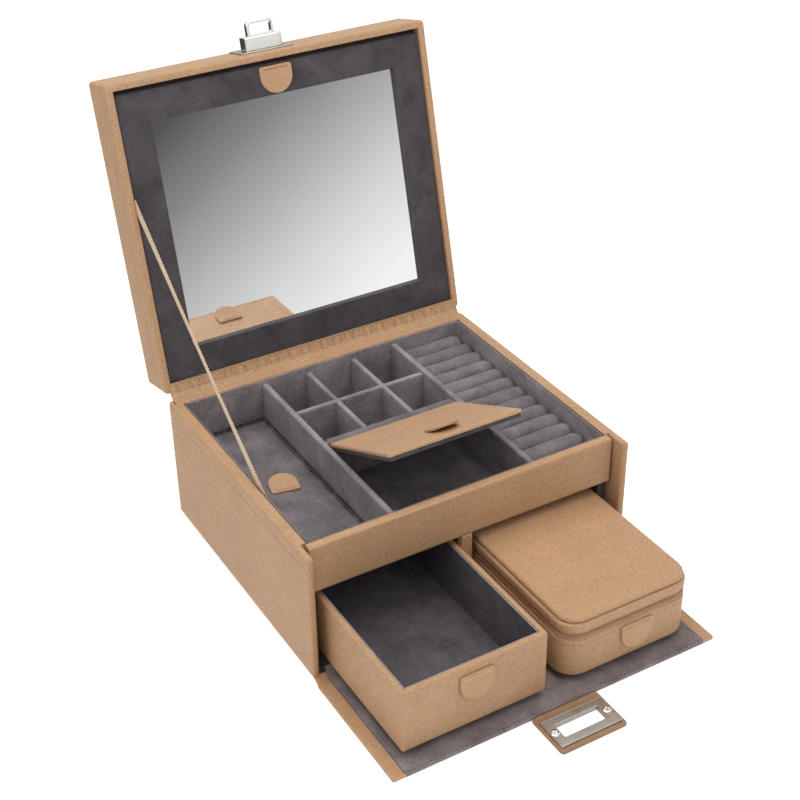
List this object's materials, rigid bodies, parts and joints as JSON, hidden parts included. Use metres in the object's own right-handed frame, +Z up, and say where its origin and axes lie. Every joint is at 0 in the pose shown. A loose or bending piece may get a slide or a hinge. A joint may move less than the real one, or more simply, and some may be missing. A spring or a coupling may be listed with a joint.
{
  "type": "jewellery case",
  "caption": "Leather-covered jewellery case, standing open: mirror lid with a stay ribbon, fitted tray, drawer, zipped travel case and drop-down front flap with a turn catch.",
  "frame": {"origin": "centre of the underside of the base pad, on the surface that the case stands on", "axes": "+Z up, +Y from the drawers towards the lid hinge at the back, +X to the right as seen from the front"},
  "size_m": [0.26, 0.4591, 0.3517],
  "materials": {
    "case_leather": "grained, tan",
    "tab_leather": "grained, tan, cut edge",
    "suede_lining": "brushed microsuede, grey",
    "wrapped_board": "fibreboard under suede or paper",
    "satin_nickel": "satin nickel plate",
    "bright_nickel": "polished nickel plate",
    "mirror": "silvered glass",
    "ribbon": "woven grosgrain ribbon",
    "zip_tape": "woven zip tape, tan",
    "zip_teeth": "nylon coil, tan"
  },
  "bodies": {
    "case": {"case_shell": "case_leather", "base_board": "wrapped_board", "base_pad": "suede_lining", "front_rail": "case_leather", "face_stiles": "suede_lining", "centre_post": "case_leather", "bay_walls": "wrapped_board", "bay_partition": "wrapped_board", "tray_floor": "wrapped_board", "tray_floor_lining": "suede_lining", "tray_liner": "suede_lining", "left_divider": "suede_lining", "right_divider": "suede_lining", "front_row_wall": "suede_lining", "cross_divider": "suede_lining", "short_dividers": "suede_lining", "cover_ledge": "suede_lining", "cover_hinge_strip": "suede_lining", "ring_pad": "suede_lining", "lid_hinge_leather": "case_leather", "stay_ribbon": "ribbon", "flap_hinge_leather": "case_leather", "fold_lining": "suede_lining"},
    "lid": {"lid_shell": "case_leather", "lid_lining": "suede_lining", "door_ledge": "suede_lining", "door_hinge_tape": "suede_lining", "catch_plate": "satin_nickel", "catch_rivets": "satin_nickel", "lock_box": "bright_nickel"},
    "mirror_door": {"mirror_frame": "suede_lining", "mirror_glass": "mirror", "mirror_backing": "wrapped_board", "mirror_tab": "tab_leather"},
    "catch": {"turn_catch": "bright_nickel"},
    "cover": {"cover_board": "case_leather", "cover_lining": "suede_lining", "cover_tab": "tab_leather"},
    "insert": {"insert_board": "wrapped_board", "insert_suede": "suede_lining", "insert_tab": "tab_leather"},
    "drawer": {"drawer_box": "case_leather", "drawer_liner": "suede_lining", "drawer_tab": "tab_leather"},
    "travel_case": {"travel_base": "case_leather", "travel_liner": "suede_lining", "travel_lid": "case_leather", "zip_tape": "zip_tape", "zip_teeth": "zip_teeth", "travel_tab": "tab_leather"},
    "zip_slider": {"zip_slider": "bright_nickel", "zip_pull": "bright_nickel"},
    "flap": {"flap_board": "case_leather", "flap_lining": "suede_lining", "tongue": "case_leather", "strike_plate": "satin_nickel", "strike_screws": "bright_nickel"}
  },
  "joints": [
    {"name": "lid_hinge", "type": "hinge", "parent": "case", "child": "lid", "pos_m": [0, 0.1148, 0.1054], "axis": [1, 0, 0], "range_deg": [0, 103.5], "deforming": ["stay_ribbon", "lid_hinge_leather"]},
    {"name": "mirror_door_hinge", "type": "hinge", "parent": "lid", "child": "mirror_door", "pos_m": [0, 0.11861, 0.11354], "axis": [-1, 0, 0], "range_deg": [-40, 0], "deforming": ["door_hinge_tape"]},
    {"name": "catch_turn", "type": "hinge", "parent": "lid", "child": "catch", "pos_m": [0.001, 0.18995, 0.34045], "axis": [0, 0.2334, 0.9724], "range_deg": [0, 90]},
    {"name": "cover_hinge", "type": "hinge", "parent": "case", "child": "cover", "pos_m": [0, 0.0005, 0.0963], "axis": [1, 0, 0], "range_deg": [0, 25.5]},
    {"name": "insert_lift", "type": "slide", "parent": "case", "child": "insert", "axis": [0, 0, -1], "range_m": [-0.05, 0]},
    {"name": "drawer_slide", "type": "slide", "parent": "case", "child": "drawer", "axis": [0, 1, 0], "range_m": [-0.05, 0.1055]},
    {"name": "travel_case_slide", "type": "slide", "parent": "case", "child": "travel_case", "axis": [0, 1, 0], "range_m": [-0.05, 0.1065]},
    {"name": "zip_slider_run", "type": "slide", "parent": "travel_case", "child": "zip_slider", "axis": [1, 0, 0], "range_m": [-0.025, 0.025]},
    {"name": "flap_hinge", "type": "hinge", "parent": "case", "child": "flap", "pos_m": [0, -0.116, 0.001], "axis": [-1, 0, 0], "range_deg": [-90, 0], "deforming": ["flap_hinge_leather", "fold_lining"]}
  ],
  "couplings": [
    {"joint": "cover_hinge", "follows": "lid_hinge", "ratio": 0.24637}
  ]
}
